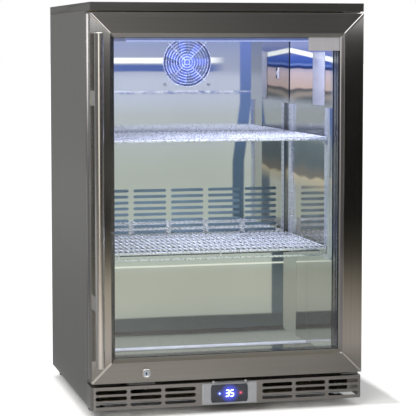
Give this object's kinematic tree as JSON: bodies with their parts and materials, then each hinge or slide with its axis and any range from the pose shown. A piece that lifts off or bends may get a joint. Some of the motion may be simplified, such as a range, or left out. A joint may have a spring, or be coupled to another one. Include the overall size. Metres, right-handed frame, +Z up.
{
  "type": "undercounter refrigerator",
  "caption": "Undercounter bar refrigerator in brushed stainless steel: framed glass door with a bar handle and a lock, wire shelves in a polished cavity, vented plinth with a display.",
  "frame": {"origin": "on the floor, under the centre of the whole object's box, which the handle and the rear panel bound in depth", "axes": "+Z up; the door faces -Y; +X is to the right when the door is looked at, so the hinge is at +X and the handle at -X"},
  "size_m": [0.6, 0.5975, 0.88],
  "materials": {
    "brushed_stainless": "satin",
    "door_grey": "satin",
    "mirror_stainless": "polished",
    "polished_stainless": "polished",
    "zinc_plated": "satin",
    "nickel": "polished",
    "chrome_wire": "polished",
    "aluminium_fin": "satin",
    "black_fin": "matte",
    "copper": "satin",
    "black_paint": "satin",
    "black_plastic": "matte",
    "grey_plastic": "satin",
    "display_black": "gloss",
    "clear_plastic": "gloss",
    "white_plastic": "satin",
    "light_diffuser": "gloss",
    "glass": "gloss",
    "gasket_rubber": "matte",
    "rubber": "matte",
    "foam": "matte"
  },
  "bodies": {
    "cabinet": {"side_panel_left": "brushed_stainless", "side_panel_right": "brushed_stainless", "worktop": "brushed_stainless", "rear_panel": "zinc_plated", "base_pan": "zinc_plated", "face_frame": "brushed_stainless", "insulation": "foam", "liner_sides": "mirror_stainless", "liner_top": "mirror_stainless", "liner_floor": "mirror_stainless", "liner_step": "mirror_stainless", "liner_back": "mirror_stainless", "air_panel": "mirror_stainless", "fan_guard": "chrome_wire", "fan_frame": "black_plastic", "panel_screws": "zinc_plated", "evaporator_coil": "aluminium_fin", "drain_tube": "white_plastic", "evaporation_tray": "black_plastic", "compressor": "black_paint", "compressor_grommets": "rubber", "condenser_coil": "black_fin", "condenser_shroud": "black_plastic", "refrigerant_tubes": "copper", "electrical_box": "black_plastic", "power_inlet": "black_plastic", "led_housing": "white_plastic", "led_lens": "light_diffuser", "pilasters": "zinc_plated", "shelf_clips": "zinc_plated", "temperature_probe": "white_plastic", "plinth_grille": "brushed_stainless", "controller_housing": "grey_plastic", "display_lens": "display_black", "hinge_brackets": "zinc_plated", "striker_plate": "zinc_plated"},
    "door": {"door_rails": "brushed_stainless", "door_stiles": "brushed_stainless", "door_core": "door_grey", "door_liner": "black_plastic", "door_gasket": "gasket_rubber", "glass_outer": "glass", "glass_inner": "glass", "glazing_spacers": "black_plastic", "handle_bar": "polished_stainless", "handle_posts": "polished_stainless", "lock_barrel": "nickel", "hinge_bushes": "white_plastic", "closer_cartridge": "zinc_plated"},
    "lock": {"lock_plug": "nickel", "lock_cam": "zinc_plated"},
    "cover": {"display_cover": "clear_plastic"},
    "evaporator_fan": {"evaporator_fan_rotor": "black_plastic"},
    "condenser_fan": {"condenser_fan_rotor": "black_plastic"},
    "upper_shelf": {"shelf_upper": "chrome_wire"},
    "lower_shelf": {"shelf_lower": "chrome_wire"},
    "front_left_foot": {"foot_front_left": "rubber"},
    "front_right_foot": {"foot_front_right": "rubber"},
    "rear_left_foot": {"foot_rear_left": "rubber"},
    "rear_right_foot": {"foot_rear_right": "rubber"}
  },
  "joints": [
    {"name": "door_swing", "type": "hinge", "parent": "cabinet", "child": "door", "pos_m": [0.285, -0.21725, 0.0717], "axis": [0, 0, 1], "range_deg": [0, 110], "stiffness_Nm_per_rad": 1},
    {"name": "lock_turn", "type": "hinge", "parent": "door", "child": "lock", "pos_m": [-0.1835, -0.24425, 0.095], "axis": [0, 1, 0], "range_deg": [0, 90]},
    {"name": "cover_flip", "type": "hinge", "parent": "cabinet", "child": "cover", "pos_m": [0, -0.24745, 0.0686], "axis": [-1, 0, 0], "range_deg": [0, 85]},
    {"name": "evaporator_fan_spin", "type": "hinge", "parent": "cabinet", "child": "evaporator_fan", "pos_m": [0, 0.15255, 0.75], "axis": [0, 1, 0], "continuous": true},
    {"name": "condenser_fan_spin", "type": "hinge", "parent": "cabinet", "child": "condenser_fan", "pos_m": [0.13, 0.10875, 0.134], "axis": [0, 1, 0], "continuous": true},
    {"name": "upper_shelf_lift", "type": "slide", "parent": "cabinet", "child": "upper_shelf", "axis": [0, 0, 1], "range_m": [0, 0.015]},
    {"name": "lower_shelf_lift", "type": "slide", "parent": "cabinet", "child": "lower_shelf", "axis": [0, 0, 1], "range_m": [0, 0.015]},
    {"name": "front_left_foot_screw", "type": "slide", "parent": "cabinet", "child": "front_left_foot", "axis": [0, 0, -1], "range_m": [0, 0.015]},
    {"name": "front_right_foot_screw", "type": "slide", "parent": "cabinet", "child": "front_right_foot", "axis": [0, 0, -1], "range_m": [0, 0.015]},
    {"name": "rear_left_foot_screw", "type": "slide", "parent": "cabinet", "child": "rear_left_foot", "axis": [0, 0, -1], "range_m": [0, 0.015]},
    {"name": "rear_right_foot_screw", "type": "slide", "parent": "cabinet", "child": "rear_right_foot", "axis": [0, 0, -1], "range_m": [0, 0.015]}
  ]
}
